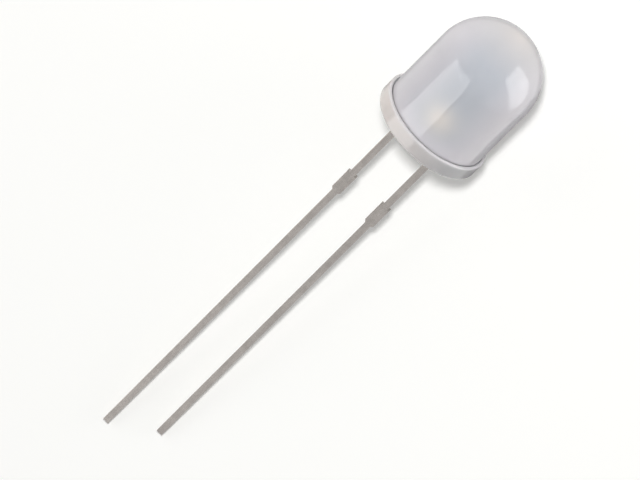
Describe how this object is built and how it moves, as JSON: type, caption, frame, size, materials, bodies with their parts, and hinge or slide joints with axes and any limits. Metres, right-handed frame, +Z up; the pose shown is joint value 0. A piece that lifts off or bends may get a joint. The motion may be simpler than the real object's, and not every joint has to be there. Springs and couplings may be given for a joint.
{
  "type": "through hole led",
  "caption": "Through hole light emitting diode with a milky domed lens, a round flange and straight square leads of unequal length, lying as it comes to rest on a table.",
  "frame": {"origin": "centre of the underside of the box around the whole part, on the surface that it lies on", "axes": "+X towards the dome along the lamp's length seen from above, +Y towards the side of the longer lead, the anode, +Z up. The lamp's own axis rises 6.911 degrees from +X and lies in the plane of X and Z, and the lamp is rolled 5.136 degrees about that axis"},
  "size_m": [0.0444, 0.0086, 0.009],
  "materials": {
    "lens": "milky, glossy cast resin",
    "leads": "dull tinned metal",
    "die_attach": "silver filled adhesive",
    "chip": "clear crystal",
    "phosphor": "phosphor filled resin",
    "bond_wires": "bright gold coloured wire"
  },
  "bodies": {
    "root": {"lens": "lens", "anode_lead": "leads", "cathode_lead": "leads", "die_attach": "die_attach", "led_chip": "chip", "phosphor": "phosphor", "anode_wire": "bond_wires", "cathode_wire": "bond_wires"}
  },
  "joints": []
}
